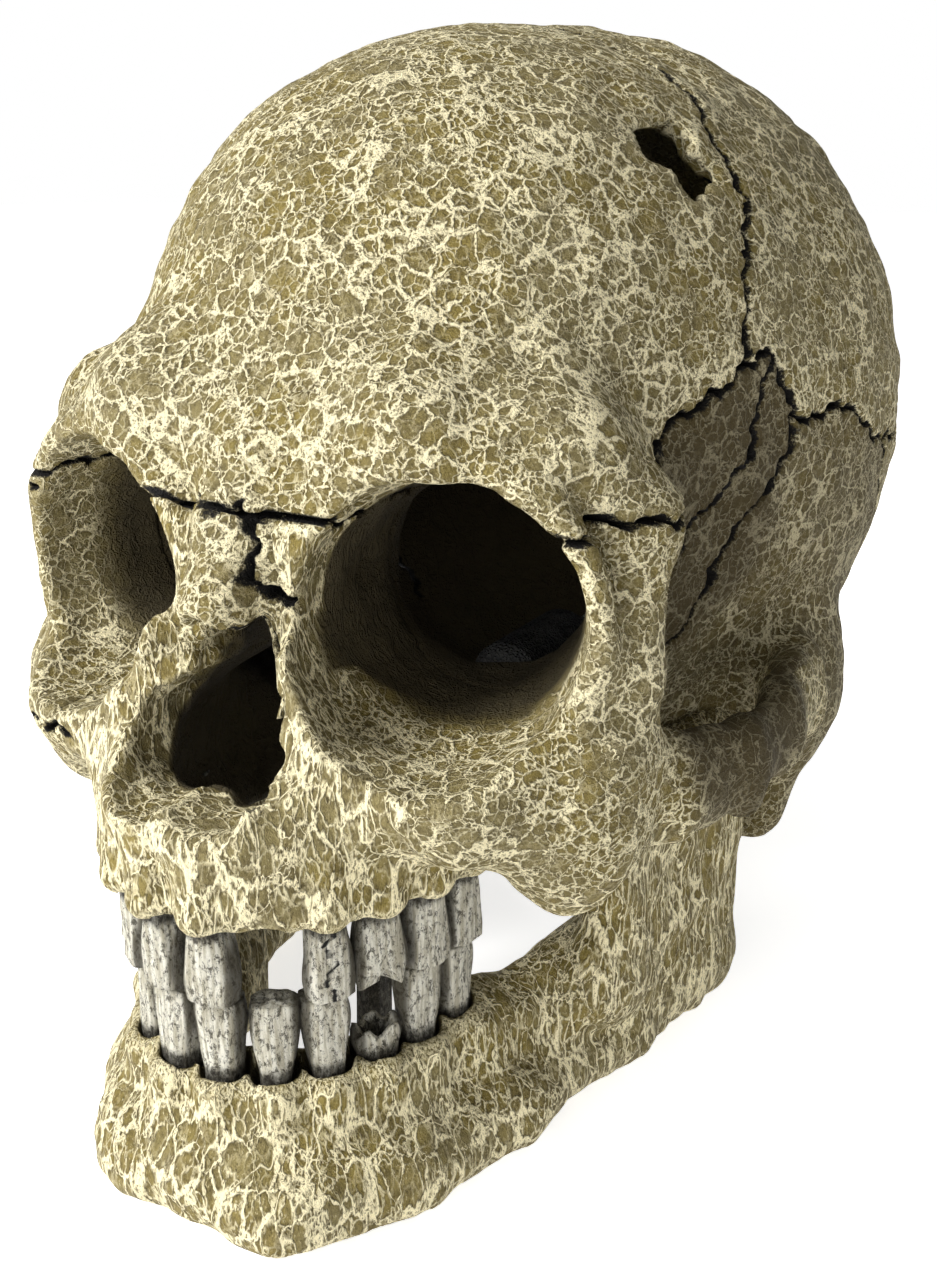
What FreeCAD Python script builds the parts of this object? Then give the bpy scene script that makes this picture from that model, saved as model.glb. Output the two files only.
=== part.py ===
"""Hollow cast-resin skull ornament for an aquarium, with the air fitting that makes it bubble.

Frame: millimetres, +Z up, -Y is the way the face looks, +X is the skull's own left.
The origin is on the surface that the ornament stands on, under the middle of its box.

The casting is a hollow braincase with a face mask in front, open underneath. Deep cracks divide
it into plates, and each plate is a solid of its own that meets its neighbours face to face.
The teeth stand in sockets. An air connector in the back wall feeds a porous stone inside.
"""

import FreeCAD
import Part
import math
import os

Vector = FreeCAD.Vector
Rotation = FreeCAD.Rotation
Placement = FreeCAD.Placement

doc = FreeCAD.newDocument("skull_ornament")
sheet = doc.addObject("Spreadsheet::Sheet", "sizes")
sheet_row = [0]
value = {}


def size(alias, number):
    """Puts a driving dimension in the sheet under its alias, and remembers it for plain arithmetic."""
    sheet_row[0] += 1
    cell = "B%d" % sheet_row[0]
    sheet.set("A%d" % sheet_row[0], alias)
    sheet.set(cell, str(number))
    sheet.setAlias(cell, alias)
    value[alias] = float(number)


def cell(alias):
    return "<<sizes>>.%s" % alias


def mm(alias):
    """A cell of the sheet as a length."""
    return "%s * 1 mm" % cell(alias)


# ---------------------------------------------------------------------------------------------
# Driving dimensions
# ---------------------------------------------------------------------------------------------

size("case_wall", 3.4)
size("reach", 120)

size("case_y", 15)
size("case_z", 106)
size("case_wide", 69)
size("case_deep", 89)
size("case_tall", 80)
size("case_base", 38)
size("brow_y", -24)
size("brow_z", 100)
size("brow_wide", 57)
size("brow_deep", 60)
size("brow_tall", 46)
size("muzzle_y", -64)
size("muzzle_z", 62)
size("muzzle_wide", 34)
size("muzzle_deep", 38)
size("muzzle_tall", 30)
size("face_wall", 8)
size("face_back", -52)
size("gum_upper", 53)

size("orbit_radius", 19.5)
size("orbit_apart", 32)
size("orbit_height", 98)
size("orbit_front", -90)
size("orbit_depth", 62)
size("orbit_turn", 15)
size("orbit_aim", 14)

size("nose_half", 14)
size("nose_low", 69)
size("nose_high", 96)

size("crown_hole_radius", 6.5)
size("crown_hole_x", 42)
size("crown_hole_y", -19)

size("cheek_x", 44)
size("cheek_y", -71)
size("cheek_z", 71)
size("cheek_wide", 14)
size("cheek_deep", 14)
size("cheek_tall", 17)
size("arch_low", 61)
size("arch_tall", 15)
size("arch_thick", 7)

size("ear_x", 52)
size("ear_y", 14)
size("ear_z", 60)
size("ear_wide", 13)
size("ear_deep", 18)
size("ear_tall", 26)

size("jaw_tall", 27)
size("ramus_inner", 38)
size("ramus_thick", 11)

size("tooth_depth", 8)
size("tooth_gap", 0.3)
size("tooth_flattening", 0.6)
size("tooth_round", 1.4)
size("root_length", 5)
size("crown_length", 13)

size("seat_face", 88.5)
size("seat_thick", 6)
size("seat_radius", 8)
size("seat_wall", 2.5)
size("seat_long", 11)
size("fitting_height", 58)
size("grommet_radius", 7)
size("grommet_hole", 5)
size("flange_thick", 2.5)
size("collar_thick", 1.5)
size("nipple_radius", 2.1)
size("nipple_length", 12)
size("nipple_bore", 1.3)
size("shank_wall", 0.9)
size("tail_length", 10)
size("tube_radius", 3)
size("tube_length", 46)
size("tube_play", 0.5)
size("stem_in_tube", 8)
size("stem_flange", 1.5)
size("stone_radius", 8)
size("stone_length", 30)
size("stone_bevel", 1.5)
doc.recompute()


# ---------------------------------------------------------------------------------------------
# Building helpers
# ---------------------------------------------------------------------------------------------


def cut(name, base, tool):
    solid = doc.addObject("Part::Cut", name)
    solid.Base = base
    solid.Tool = tool
    return solid


def common(name, base, tool):
    solid = doc.addObject("Part::Common", name)
    solid.Base = base
    solid.Tool = tool
    return solid


def fuse(name, *pieces):
    solid = doc.addObject("Part::MultiFuse", name)
    solid.Shapes = list(pieces)
    solid.Refine = False
    return solid


def origin_plane(body, role):
    return [f for f in body.Origin.OriginFeatures if f.Role == role][0]


def sketch_on(body, role, name):
    sketch = body.newObject("Sketcher::SketchObject", name)
    sketch.AttachmentSupport = [(origin_plane(body, role), "")]
    sketch.MapMode = "FlatFace"
    return sketch


def closed_lines(sketch, points):
    """Adds a closed outline of straight lines through the points."""
    for start, end in zip(points, points[1:] + points[:1]):
        sketch.addGeometry(Part.LineSegment(Vector(*start, 0), Vector(*end, 0)), False)


def prism(name, role, points, start, length):
    """A straight prism on an origin plane, from start, for length; both are expressions in mm."""
    body = doc.addObject("PartDesign::Body", name)
    sketch = sketch_on(body, role, name + "_outline")
    closed_lines(sketch, points)
    sketch.setExpression("AttachmentOffset.Base.z", start)
    pad = body.newObject("PartDesign::Pad", name + "_pad")
    pad.Profile = sketch
    pad.setExpression("Length", length)
    return body


def ellipsoid(name, alias, shrink="0", side="1", seam=90):
    """An ellipsoid from the sheet's cells alias_x, _y, _z (centre) and alias_wide, _deep, _tall (half
    sizes), moved inwards by shrink. Its seam is turned to an angle about Z where nothing is cut."""
    solid = doc.addObject("Part::Ellipsoid", name)
    solid.Angle1 = -90
    solid.Angle2 = 90
    solid.Placement = Placement(Vector(), Rotation(Vector(0, 0, 1), seam))
    for radius, way in (("Radius2", "deep"), ("Radius3", "wide"), ("Radius1", "tall")):
        solid.setExpression(radius, "(%s - %s) * 1 mm" % (cell(alias + "_" + way), shrink))
    if alias + "_x" in value:
        solid.setExpression("Placement.Base.x", "%s * %s" % (side, cell(alias + "_x")))
    for axis in "yz":
        solid.setExpression("Placement.Base." + axis, cell(alias + "_" + axis))
    return solid


def cylinder(name, radius, length, place):
    solid = doc.addObject("Part::Cylinder", name)
    solid.Placement = place
    solid.setExpression("Radius", radius)
    solid.setExpression("Height", length)
    return solid


def spline_through(points):
    curve = Part.BSplineCurve()
    curve.interpolate([Vector(*p, 0) for p in points])
    return curve


nodes = {}


def node(name, solid):
    """Marks a finished object as a piece of the ornament, and labels it with the piece's name."""
    solid.Label = name
    nodes[name] = solid
    return solid


# ---------------------------------------------------------------------------------------------
# Teeth, each a tapered oval peg whose root stands in its socket
# ---------------------------------------------------------------------------------------------

UPPER_ARCH = {"middle": -60, "half_wide": 27.5, "half_long": 37.5}
LOWER_ARCH = {"middle": -60, "half_wide": 26, "half_long": 36}
TEETH_PER_SIDE = 6
TOOTH_NAMES = ("central_incisor", "lateral_incisor", "canine", "first_premolar", "second_premolar", "molar")
TOOTH_WIDTHS = (8.2, 7.6, 8.2, 8.0, 8.0, 8.4)
UPPER_MISSING = {("left", "lateral_incisor")}
LOWER_MISSING = {("right", "canine")}
STUMP = ("left", "first_premolar")
STUMP_CROWN = 0.3


def arch_point(arch, share):
    """A point at a share of the quarter arch, from the midline (0) to its end (1), and its outward yaw."""
    steps = 200
    points = []
    for step in range(steps + 1):
        angle = math.pi / 2 * step / steps
        points.append((arch["half_wide"] * math.sin(angle), arch["middle"] - arch["half_long"] * math.cos(angle)))
    lengths = [0.0]
    for a, b in zip(points, points[1:]):
        lengths.append(lengths[-1] + math.hypot(b[0] - a[0], b[1] - a[1]))
    want = share * lengths[-1]
    step = min(range(steps), key=lambda k: abs(lengths[k] - want))
    (x0, y0), (x1, y1) = points[step], points[step + 1]
    return x0, y0, math.degrees(math.atan2(y1 - y0, x1 - x0))


def rim_edges(shape):
    """Names of the two closed rims of a padded oval."""
    return ["Edge%d" % (i + 1) for i, edge in enumerate(shape.Edges) if edge.isClosed()]


def tooth(name, row, side, index, crown):
    """One tooth: an oval sketch padded from the root's tip to the bite, with rounded edges."""
    arch = UPPER_ARCH if row == "upper" else LOWER_ARCH
    up = -1 if row == "upper" else 1
    x, y, yaw = arch_point(arch, (index + 0.5) / TEETH_PER_SIDE)
    gum = value["gum_upper"] if row == "upper" else value["jaw_tall"]
    body = doc.addObject("PartDesign::Body", name)
    sketch = sketch_on(body, "XY_Plane", name + "_oval")
    half_wide = (TOOTH_WIDTHS[index] - value["tooth_gap"]) / 2
    half_deep = value["tooth_depth"] / 2 - value["tooth_flattening"]
    sketch.addGeometry(Part.Ellipse(Vector(), half_wide, half_deep), False)
    pad = body.newObject("PartDesign::Pad", name + "_pad")
    pad.Profile = sketch
    pad.setExpression("Length", "(%s + %g * %s) * 1 mm" % (cell("root_length"), crown, cell("crown_length")))
    doc.recompute()
    fillet = body.newObject("PartDesign::Fillet", name + "_rounding")
    fillet.Base = (pad, rim_edges(pad.Shape))
    fillet.setExpression("Radius", mm("tooth_round"))
    tip_turn = Rotation(Vector(1, 0, 0), 0 if up > 0 else 180)
    spin = Rotation(Vector(0, 0, 1), side * yaw)
    root = gum - up * value["root_length"]
    body.Placement = Placement(Vector(side * x, y, root), spin.multiply(tip_turn))
    return body


upper_teeth, lower_teeth = {}, {}
for side_name, side in (("left", 1), ("right", -1)):
    for index, kind in enumerate(TOOTH_NAMES):
        if (side_name, kind) not in UPPER_MISSING:
            name = "upper_%s_%s" % (kind, side_name)
            upper_teeth[name] = tooth(name, "upper", side, index, 1.0)
        if (side_name, kind) not in LOWER_MISSING:
            name = "lower_%s_%s" % (kind, side_name)
            crown = 1.0
            if (side_name, kind) == STUMP:
                name, crown = "broken_" + name, STUMP_CROWN
            lower_teeth[name] = tooth(name, "lower", side, index, crown)

upper_roots = fuse("upper_roots", *upper_teeth.values())
lower_roots = fuse("lower_roots", *lower_teeth.values())


# ---------------------------------------------------------------------------------------------
# Casting: braincase and face mask as one blank, before the cracks divide it
# ---------------------------------------------------------------------------------------------


def below(name, level):
    """Everything under a level, to cut away."""
    wide = value["reach"]
    corners = [(-wide, -wide), (wide, -wide), (wide, wide), (-wide, wide)]
    return prism(name, "XY_Plane", corners, "0", mm(level))


FRONT_SEAM = -90
ABOVE_ALL = 230
THROUGH = "60 mm"
case_outer = ellipsoid("case_outer", "case", seam=FRONT_SEAM)
case_inner = ellipsoid("case_inner", "case", cell("case_wall"), seam=FRONT_SEAM)
case_shell = cut("case_shell", cut("case_closed", case_outer, case_inner), below("case_floor", "case_base"))

face_outer = fuse("face_outer", ellipsoid("brow_outer", "brow"), ellipsoid("muzzle_outer", "muzzle"))
face_inner = fuse(
    "face_inner",
    ellipsoid("brow_inner", "brow", cell("face_wall")),
    ellipsoid("muzzle_inner", "muzzle", cell("face_wall")),
)
behind = [(-90, 20), (90, 20), (90, ABOVE_ALL), (-90, ABOVE_ALL)]
behind_start = "-(%s + %s)" % (cell("face_back"), cell("reach"))
behind_face = prism("behind_face", "XZ_Plane", behind, behind_start, mm("reach"))
face_closed = cut("face_closed", cut("face_front", face_outer, behind_face), below("face_floor", "gum_upper"))
face_mask = cut("face_mask", face_closed, face_inner)
case_clear = cut("case_clear_of_face", case_shell, face_inner)


def orbit_tube(name, side):
    """Cutter for one eye opening, turned outwards about a point a little way in from its front."""
    turn = Rotation(Vector(0, 0, 1), side * value["orbit_turn"])
    along = turn.multiply(Rotation(Vector(1, 0, 0), -90))
    tube = cylinder(name, mm("orbit_radius"), mm("orbit_depth"), Placement(Vector(), along))
    aim_shift = math.tan(math.radians(value["orbit_turn"])) * value["orbit_aim"]
    tube.setExpression("Placement.Base.x", "%g * (%s + %g)" % (side, cell("orbit_apart"), aim_shift))
    tube.setExpression("Placement.Base.y", cell("orbit_front"))
    tube.setExpression("Placement.Base.z", cell("orbit_height"))
    return tube


def nose_cutter():
    """Heart-shaped opening, point up, with the spine's small rise in the middle of its floor."""
    half, low, high = value["nose_half"], value["nose_low"], value["nose_high"]
    outline = [
        (0, low + 3),
        (0.35 * half, low),
        (0.8 * half, low + 1),
        (half, low + 6),
        (0.85 * half, low + 14),
        (0.45 * half, high - 4),
        (0, high),
    ]
    mirrored = [(-x, z) for x, z in reversed(outline[1:-1])]
    return prism("nose_cutter", "XZ_Plane", outline + mirrored, "55", THROUGH)


def crown_hole_cutter():
    """Broken hole in the crown: an uneven seven-sided outline."""
    radius, x, y = (value["crown_hole_" + key] for key in ("radius", "x", "y"))
    outline = []
    for corner, share in enumerate((1.0, 0.75, 1.1, 0.8, 1.05, 0.7, 0.95)):
        angle = 2 * math.pi * corner / 7
        outline.append((x + radius * share * math.cos(angle), y + 1.3 * radius * share * math.sin(angle)))
    return prism("crown_hole_cutter", "XY_Plane", outline, "140", THROUGH)


TOWARDS_BACK = Rotation(Vector(1, 0, 0), -90)


def seat_cylinder(name, radius, start, length):
    """A cylinder on the air fitting's axis, from a place along Y, for a length backwards."""
    solid = cylinder(name, radius, length, Placement(Vector(), TOWARDS_BACK))
    solid.setExpression("Placement.Base.y", start)
    solid.setExpression("Placement.Base.z", cell("fitting_height"))
    return solid


seat_inside = "%s - %s" % (cell("seat_face"), cell("seat_thick"))
seat_outer_radius = "(%s + %s) * 1 mm" % (cell("seat_radius"), cell("seat_wall"))
seat_block = seat_cylinder("seat_block", seat_outer_radius, seat_inside, mm("seat_long"))
blank = fuse("casting_blank", case_clear, face_mask, seat_block)
seat_recess = seat_cylinder("seat_recess", mm("seat_radius"), cell("seat_face"), THROUGH)
fitting_hole = seat_cylinder("fitting_hole", mm("grommet_hole"), "60", THROUGH)

orbit_tubes = {side: orbit_tube("orbit_tube_" + name, side) for name, side in (("left", 1), ("right", -1))}
openings = fuse(
    "casting_openings",
    *orbit_tubes.values(),
    nose_cutter(),
    crown_hole_cutter(),
    seat_recess,
    fitting_hole,
)
casting = cut("casting", blank, openings)


# ---------------------------------------------------------------------------------------------
# Cracks: side-view lines (Y, Z) that bound the plates. Each prism below tiles the side view.
# ---------------------------------------------------------------------------------------------

CORONAL = [(2, ABOVE_ALL), (2, 190), (-2, 172), (-9, 156), (-17, 142), (-24, 130)]
SPHENOID_FRONT = [(-24, 130), (-33, 125), (-44, 117), (-58, 112), (-100, 112)]
SQUAMOUS = [(-24, 130), (-16, 130), (-8, 121), (10, 119), (28, 110)]
SPHENOID_BACK = [(-8, 121), (-16, 108), (-24, 96), (-32, 80), (-32, 10)]
OCCIPITAL_TOP = [(28, 110), (50, 112), (76, 120), (110, 124)]
OCCIPITAL_FRONT = [(28, 110), (37, 94), (42, 60), (42, 10)]
FACE_BACK = [(-52, 112), (-52, 10)]

frontal_outline = [(-110, ABOVE_ALL)] + CORONAL + SPHENOID_FRONT[1:-1] + [(-110, 112)]
parietal_outline = CORONAL + SQUAMOUS[1:] + OCCIPITAL_TOP[1:] + [(110, ABOVE_ALL)]
sphenoid_outline = SQUAMOUS[:3] + SPHENOID_BACK[1:] + FACE_BACK[::-1] + SPHENOID_FRONT[2:0:-1]
temporal_outline = SQUAMOUS[2:] + OCCIPITAL_FRONT[1:] + list(reversed(SPHENOID_BACK))[:-1]
occipital_outline = OCCIPITAL_TOP + [(110, 10)] + list(reversed(OCCIPITAL_FRONT))[:-1]
face_outline = [(-110, 112)] + FACE_BACK + [(-110, 10)]


def plate(name, outline, end="%s * 0.75" % cell("reach")):
    """The part of the casting inside a side-view outline, from the right side as far as an end."""
    start = "%s * 0.75" % cell("reach")
    region = prism(name + "_region", "YZ_Plane", outline, "-" + start, "(%s + %s) * 1 mm" % (start, end))
    return common(name + "_plate", casting, region)


def mirrored(name, source):
    """The same piece on the left side."""
    solid = doc.addObject("Part::Mirroring", name)
    solid.Source = source
    solid.Normal = Vector(1, 0, 0)
    return solid


frontal_plate = plate("frontal", frontal_outline)
parietal_plate = plate("parietal", parietal_outline)
occipital_plate = plate("occipital", occipital_outline)
face_plate = plate("face", face_outline)
sphenoid_plate = plate("sphenoid", sphenoid_outline, "0")
temporal_plate = plate("temporal", temporal_outline, "0")


# ---------------------------------------------------------------------------------------------
# Cheekbones with their arches, and the ear region that each arch runs back to
# ---------------------------------------------------------------------------------------------


def arch_band():
    """The right arch seen from above: a curved band from the cheekbone out and back to the ear."""
    thick = value["arch_thick"]
    line = [(-49, -72), (-61, -54), (-65.5, -34), (-64, -12), (-58, 8)]
    inner = [(x + thick, y + 1) for x, y in line]
    body = doc.addObject("PartDesign::Body", "arch")
    sketch = sketch_on(body, "XY_Plane", "arch_outline")
    sketch.addGeometry(spline_through(line), False)
    sketch.addGeometry(spline_through(inner), False)
    for a, b in ((line[0], inner[0]), (line[-1], inner[-1])):
        sketch.addGeometry(Part.LineSegment(Vector(*a, 0), Vector(*b, 0)), False)
    sketch.setExpression("AttachmentOffset.Base.z", cell("arch_low"))
    pad = body.newObject("PartDesign::Pad", "arch_pad")
    pad.Profile = sketch
    pad.setExpression("Length", mm("arch_tall"))
    return body


ear = ellipsoid("ear_bulge", "ear", side="-1")
cheek = fuse("cheek_and_arch", ellipsoid("cheek_bulge", "cheek", side="-1"), arch_band())


# ---------------------------------------------------------------------------------------------
# Lower jaw
# ---------------------------------------------------------------------------------------------


def jaw_horseshoe():
    """Body of the jaw: a horseshoe seen from above, square at the chin."""
    half_outer = [(49, 4), (46, -20), (39, -48), (31, -76), (20, -98)]
    half_inner = [(38, 4), (34, -20), (27, -48), (19, -72), (11, -86)]
    outer = [(-x, y) for x, y in half_outer] + [(0, -104)] + half_outer[::-1]
    inner = [(-x, y) for x, y in half_inner] + [(0, -91)] + half_inner[::-1]
    body = doc.addObject("PartDesign::Body", "jaw_horseshoe")
    sketch = sketch_on(body, "XY_Plane", "jaw_outline")
    sketch.addGeometry(spline_through(outer), False)
    sketch.addGeometry(spline_through(inner), False)
    for a, b in ((outer[0], inner[0]), (outer[-1], inner[-1])):
        sketch.addGeometry(Part.LineSegment(Vector(*a, 0), Vector(*b, 0)), False)
    pad = body.newObject("PartDesign::Pad", "jaw_pad")
    pad.Profile = sketch
    pad.setExpression("Length", mm("jaw_tall"))
    return body


RAMUS = [
    (-46, 0), (4, 0), (7, 8), (4, 36), (6, 66), (-6, 66), (-14, 58), (-26, 62), (-34, 68), (-42, 48), (-46, 27)
]


def ramus(side_name, side):
    start = cell("ramus_inner") if side > 0 else "-(%s + %s)" % (cell("ramus_inner"), cell("ramus_thick"))
    return prism("ramus_" + side_name, "YZ_Plane", RAMUS, start, mm("ramus_thick"))


jaw_blank = fuse("jaw_blank", jaw_horseshoe(), ramus("left", 1), ramus("right", -1))


# ---------------------------------------------------------------------------------------------
# Pieces, each cut back to where its neighbour begins
# ---------------------------------------------------------------------------------------------

node("frontal_bone", frontal_plate)
node("parietal_bone", parietal_plate)
node("occipital_bone", occipital_plate)
nasal_region = prism("nasal_region", "XZ_Plane", [(-6, 130), (6, 130), (9.5, 91), (-9.5, 91)], "0", "120 mm")
cheek_outline = [(-41, 130), (-80, 130), (-80, 50), (-37, 60), (-33, 79)]
cheek_region = prism("cheek_region", "XZ_Plane", cheek_outline, "0", "120 mm")
node("nasal_bones", common("nasal_part", face_plate, nasal_region))
face_middle = face_plate
for region in (nasal_region, cheek_region, mirrored("cheek_region_mirror", cheek_region)):
    face_middle = cut("face_without_" + region.Name, face_middle, region)
node("facial_bone", cut("face_socketed", face_middle, upper_roots))

temple = fuse("temple", temporal_plate, cut("ear_outside_case", ear, case_inner))
cheek_off_case = cut("cheek_off_case", cheek, case_outer)
cheek_off_face = cut("cheek_off_face", cheek_off_case, face_plate)
cheek_off_orbit = cut("cheek_off_orbit", cheek_off_face, orbit_tubes[-1])
cheek_rim = common("cheek_rim", face_plate, cheek_region)
cheekbone = fuse("cheek_whole", cut("cheek_off_ear", cheek_off_orbit, ear), cheek_rim)
for name, solid in (("sphenoid", sphenoid_plate), ("temporal_bone", temple), ("cheekbone", cheekbone)):
    node(name + "_right", solid)
    node(name + "_left", mirrored(name + "_mirror", solid))

skull_base = fuse("skull_base", ear, mirrored("ear_mirror", ear), case_outer)
node("lower_jaw", cut("jaw_socketed", cut("jaw_off_skull", jaw_blank, skull_base), lower_roots))
for name, solid in list(upper_teeth.items()) + list(lower_teeth.items()):
    node(name, solid)


# ---------------------------------------------------------------------------------------------
# Air fitting: grommet, connector, tube and stone, in line through the back wall
# ---------------------------------------------------------------------------------------------


def turned(name, profile):
    """A turned piece on the fitting's axis. The profile is (radius, distance) with distance along
    +Y from the seat's face."""
    body = doc.addObject("PartDesign::Body", name)
    sketch = sketch_on(body, "YZ_Plane", name + "_profile")
    closed_lines(sketch, [(distance, radius) for radius, distance in profile])
    turn = body.newObject("PartDesign::Revolution", name + "_turn")
    turn.Profile = sketch
    turn.ReferenceAxis = (sketch, ["H_Axis"])
    turn.Angle = 360
    body.setExpression("Placement.Base.y", cell("seat_face"))
    body.setExpression("Placement.Base.z", cell("fitting_height"))
    return node(name, body)


flange, groove = value["grommet_radius"], value["grommet_hole"]
flange_thick, inner_face = value["flange_thick"], -value["seat_thick"]
bore, nipple = value["nipple_bore"], value["nipple_radius"]
shank = nipple + value["shank_wall"]
grommet_end = inner_face - flange_thick
turned(
    "inlet_grommet",
    [(shank, flange_thick), (flange, flange_thick), (flange, 0), (groove, 0), (groove, inner_face),
     (flange, inner_face), (flange, grommet_end), (shank, grommet_end)],
)
collar = flange_thick + value["collar_thick"]
nipple_end = collar + value["nipple_length"]
inner_end = grommet_end - value["tail_length"]
turned(
    "air_connector",
    [(bore, nipple_end), (nipple, nipple_end), (nipple, collar), (groove, collar), (groove, flange_thick),
     (shank, flange_thick), (shank, grommet_end), (nipple, grommet_end), (nipple, inner_end), (bore, inner_end)],
)
tube_start = grommet_end - value["tube_play"]
tube_end = tube_start - value["tube_length"]
tube = value["tube_radius"]
turned(
    "air_tube",
    [(nipple, tube_start), (tube, tube_start), (tube, tube_end), (nipple, tube_end)],
)
stem_start = tube_end + value["stem_in_tube"]
stone_start = tube_end - value["stem_flange"]
stone_end = stone_start - value["stone_length"]
stone, bevel = value["stone_radius"], value["stone_bevel"]
flange_radius = 0.6 * stone
turned(
    "stone_stem",
    [(bore, stem_start), (nipple, stem_start), (nipple, tube_end), (flange_radius, tube_end),
     (flange_radius, stone_start), (bore, stone_start)],
)
turned(
    "air_stone",
    [(0, stone_start), (stone - bevel, stone_start), (stone, stone_start - bevel), (stone, stone_end + bevel),
     (stone - bevel, stone_end), (0, stone_end)],
)


# ---------------------------------------------------------------------------------------------
# Checks and export
# ---------------------------------------------------------------------------------------------

doc.recompute()
os.makedirs("parts", exist_ok=True)
for old in os.listdir("parts"):
    if old.endswith(".step"):
        os.remove(os.path.join("parts", old))
for item in doc.Objects:
    bad = [state for state in item.State if state in ("Invalid", "Error")]
    if bad:
        raise RuntimeError("%s failed: %s" % (item.Name, item.State))

whole = FreeCAD.BoundBox()
mass_volume = 0.0
mass_moment = Vector()
for name in sorted(nodes):
    shape = nodes[name].Shape
    if shape.isNull() or not shape.isValid() or not shape.Solids:
        raise RuntimeError("%s has no valid solid" % name)
    whole.add(shape.BoundBox)
    for solid in shape.Solids:
        mass_volume += solid.Volume
        mass_moment += solid.CenterOfMass * solid.Volume
    box = shape.BoundBox
    print(
        "%-32s solids %d volume %8.1f  x %6.1f %6.1f  y %6.1f %6.1f  z %6.1f %6.1f"
        % (name, len(shape.Solids), shape.Volume, box.XMin, box.XMax, box.YMin, box.YMax, box.ZMin, box.ZMax)
    )
    Part.makeCompound(shape.Solids).exportStep(os.path.join("parts", name + ".step"))
centre = mass_moment * (1.0 / mass_volume)
print("box", whole)
print("nodes", len(nodes), "volume", round(mass_volume), "centre of volume", centre)
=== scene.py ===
"""Looks of the hollow skull ornament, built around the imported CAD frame.

The casting is carved as one distance field on a voxel grid: bulges are blended together, hollows and
openings are taken out, and the field is then divided along the cracks into one mesh for each CAD plate.
Teeth are lofted pegs. Lengths in this file are millimetres until a mesh is made.
"""

import math

import bpy
import numpy as np
import openvdb
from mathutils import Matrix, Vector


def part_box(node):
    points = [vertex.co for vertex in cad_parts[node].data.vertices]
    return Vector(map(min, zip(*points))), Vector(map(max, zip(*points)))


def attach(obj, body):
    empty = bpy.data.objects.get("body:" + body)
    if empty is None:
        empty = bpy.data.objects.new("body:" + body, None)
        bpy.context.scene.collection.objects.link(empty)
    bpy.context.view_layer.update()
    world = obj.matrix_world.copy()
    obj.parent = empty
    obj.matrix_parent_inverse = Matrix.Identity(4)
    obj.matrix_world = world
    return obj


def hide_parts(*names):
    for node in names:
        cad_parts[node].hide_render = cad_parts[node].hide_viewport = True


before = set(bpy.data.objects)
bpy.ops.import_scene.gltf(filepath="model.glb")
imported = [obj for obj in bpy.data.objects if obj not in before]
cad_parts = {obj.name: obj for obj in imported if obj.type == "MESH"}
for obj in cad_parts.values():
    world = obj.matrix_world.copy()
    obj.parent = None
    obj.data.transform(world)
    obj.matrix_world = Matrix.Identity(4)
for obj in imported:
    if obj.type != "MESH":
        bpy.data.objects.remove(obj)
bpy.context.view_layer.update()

MM = 0.001
VOXEL = 0.8
SEED = 11

# ---------------------------------------------------------------------------------------------
# Field: one half of the head on a grid, x from the middle outwards
# ---------------------------------------------------------------------------------------------

HALF_WIDTH = 74.0
LOW = (0.0, -112.0, -4.0)
HIGH = (HALF_WIDTH, 112.0, 192.0)


def axis(low, high, start):
    return np.arange(low + start, high, VOXEL, dtype=np.float32)


xs = axis(LOW[0], HIGH[0], VOXEL / 2)
ys = axis(LOW[1], HIGH[1], 0.0)
zs = axis(LOW[2], HIGH[2], 0.0)


def window(low, high, x_axis=None):
    """Slices of the grid between two corners, and the coordinates there, ready to broadcast."""
    slices, coordinates = [], []
    for number, values in enumerate((xs if x_axis is None else x_axis, ys, zs)):
        first, last = np.searchsorted(values, (low[number], high[number]))
        slices.append(slice(max(int(first), 0), max(int(last), 1)))
        shape = [1, 1, 1]
        shape[number] = -1
        coordinates.append(values[slices[-1]].reshape(shape))
    return tuple(slices), coordinates


def soft_min(a, b, k):
    h = np.clip(0.5 + 0.5 * (b - a) / k, 0, 1)
    return b + (a - b) * h - k * h * (1 - h)


def soft_max(a, b, k):
    return -soft_min(-a, -b, k)


def step_between(value, low, high):
    """0 up to low, 1 from high on, and smooth between them."""
    share = np.clip((value - low) / (high - low), 0, 1)
    return share * share * (3 - 2 * share)


def ball(p, centre, radii):
    """Distance to an ellipsoid, near enough for blending."""
    q = [(c - m) / r for c, m, r in zip(p, centre, radii)]
    near = np.sqrt(q[0] ** 2 + q[1] ** 2 + q[2] ** 2)
    slope = np.sqrt((q[0] / radii[0]) ** 2 + (q[1] / radii[1]) ** 2 + (q[2] / radii[2]) ** 2) + 1e-6
    return near * (near - 1.0) / slope


def rod(p, start, end, r0, r1, squash=(1, 1, 1)):
    """Distance to a round bar from start to end; squash divides each direction's distances."""
    s = [b - a for a, b in zip(start, end)]
    length = sum((v / q) ** 2 for v, q in zip(s, squash))
    share = sum((c - a) * v / q**2 for c, a, v, q in zip(p, start, s, squash)) / length
    share = np.clip(share, 0, 1)
    away = [(c - a - share * v) / q for c, a, v, q in zip(p, start, s, squash)]
    return np.sqrt(away[0] ** 2 + away[1] ** 2 + away[2] ** 2) - (r0 + (r1 - r0) * share)


def reach_of(points, room):
    """Corners of the box around some points, with room to spare."""
    return [min(v) - room for v in zip(*points)], [max(v) + room for v in zip(*points)]


# How far past its blend a shape may still matter, and the distance an empty field starts from
BALL_MARGIN = 6
ROD_MARGIN = 4
EMPTY = 40.0


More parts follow.
